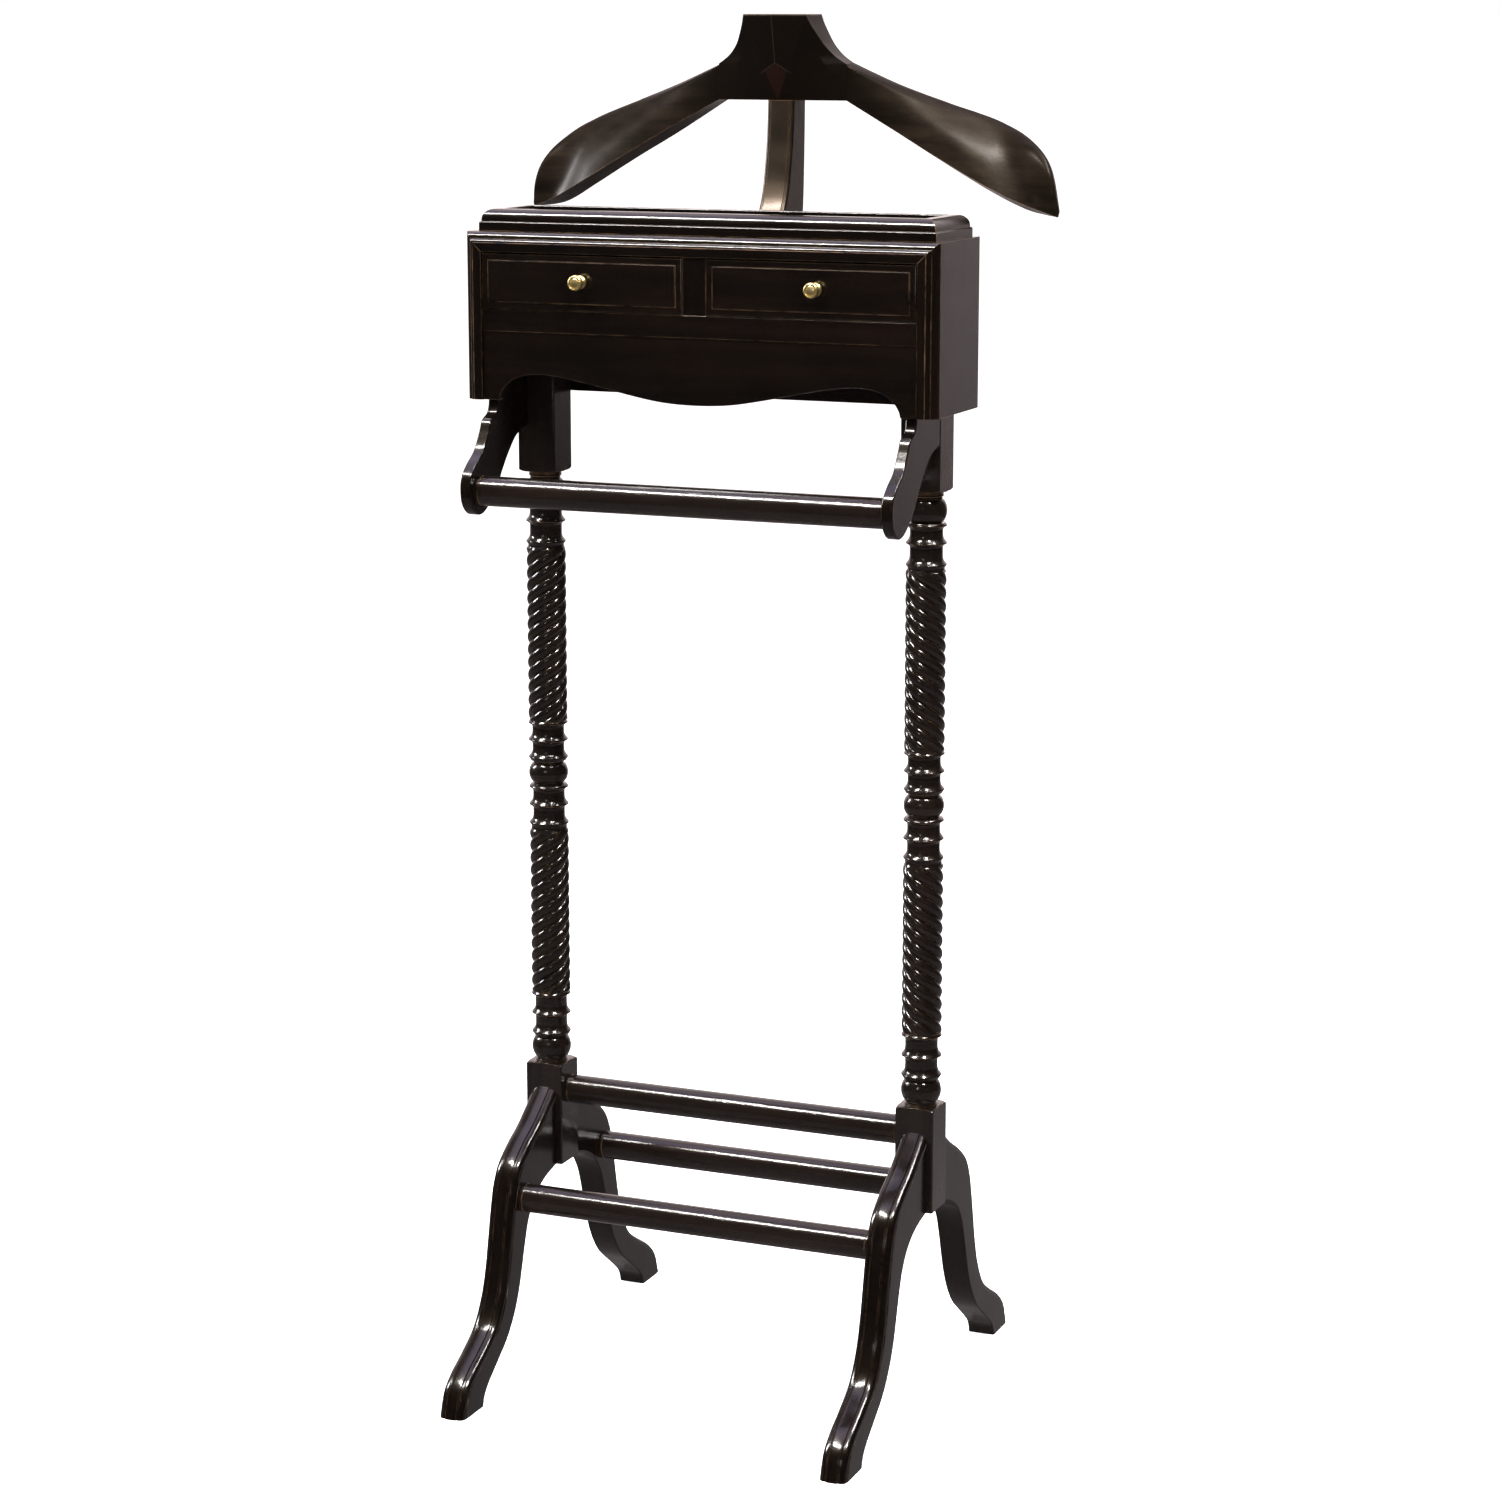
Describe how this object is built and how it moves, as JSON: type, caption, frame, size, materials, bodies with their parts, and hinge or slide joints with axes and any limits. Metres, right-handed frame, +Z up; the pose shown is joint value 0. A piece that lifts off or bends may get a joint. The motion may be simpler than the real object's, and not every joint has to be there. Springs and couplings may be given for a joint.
{
  "type": "valet stand",
  "caption": "Standing clothes valet: jacket hanger on a swan-neck stem, small drawer case with tray, trouser bar, twisted posts, curved legs and shoe rails.",
  "frame": {"origin": "on the floor, midway between the two posts", "axes": "+Z up, front towards -Y, +X to the right seen from the front"},
  "size_m": [0.4824, 0.407, 1.161],
  "materials": {
    "mahogany": "very dark red-brown stain under gloss lacquer, rubbed lighter on the edges",
    "drawer_wood": "brown stained inner wood, satin",
    "brass": "satin lacquered brass",
    "steel": "zinc-plated screws",
    "beech": "raw dowel"
  },
  "bodies": {
    "stand": {"post_left": "mahogany", "post_right": "mahogany", "leg_front_left": "mahogany", "leg_front_right": "mahogany", "leg_rear_left": "mahogany", "leg_rear_right": "mahogany", "leg_dowel_front_left": "beech", "leg_dowel_front_right": "beech", "leg_dowel_rear_left": "beech", "leg_dowel_rear_right": "beech", "shoe_rail_top": "mahogany", "shoe_rail_front": "mahogany", "shoe_rail_rear": "mahogany", "trouser_bar": "mahogany", "bracket_left": "mahogany", "bracket_right": "mahogany", "bracket_dowel_left": "beech", "bracket_dowel_right": "beech", "case_side_left": "mahogany", "case_side_right": "mahogany", "case_back": "mahogany", "case_top": "mahogany", "dust_board": "mahogany", "drawer_divider": "mahogany", "post_screw_left": "steel", "post_screw_right": "steel", "frame_stile_left": "mahogany", "frame_stile_right": "mahogany", "frame_top_rail": "mahogany", "muntin": "mahogany", "lower_rail": "mahogany", "apron": "mahogany", "tray_front": "mahogany", "tray_back": "mahogany", "tray_left": "mahogany", "tray_right": "mahogany", "stem": "mahogany", "stem_screw_upper": "steel", "stem_screw_lower": "steel", "hanger_centre": "mahogany", "hanger_arm_left": "mahogany", "hanger_arm_right": "mahogany", "hanger_dowel_left": "beech", "hanger_dowel_right": "beech"},
    "drawer_left": {"drawer_left_front": "mahogany", "drawer_left_side_inner": "drawer_wood", "drawer_left_side_outer": "drawer_wood", "drawer_left_back": "drawer_wood", "drawer_left_bottom": "drawer_wood", "drawer_left_knob": "brass", "drawer_left_knob_screw": "steel"},
    "drawer_right": {"drawer_right_front": "mahogany", "drawer_right_side_inner": "drawer_wood", "drawer_right_side_outer": "drawer_wood", "drawer_right_back": "drawer_wood", "drawer_right_bottom": "drawer_wood", "drawer_right_knob": "brass", "drawer_right_knob_screw": "steel"}
  },
  "joints": [
    {"name": "drawer_left_slide", "type": "slide", "parent": "stand", "child": "drawer_left", "axis": [0, -1, 0], "range_m": [0, 0.065]},
    {"name": "drawer_right_slide", "type": "slide", "parent": "stand", "child": "drawer_right", "axis": [0, -1, 0], "range_m": [0, 0.065]}
  ]
}
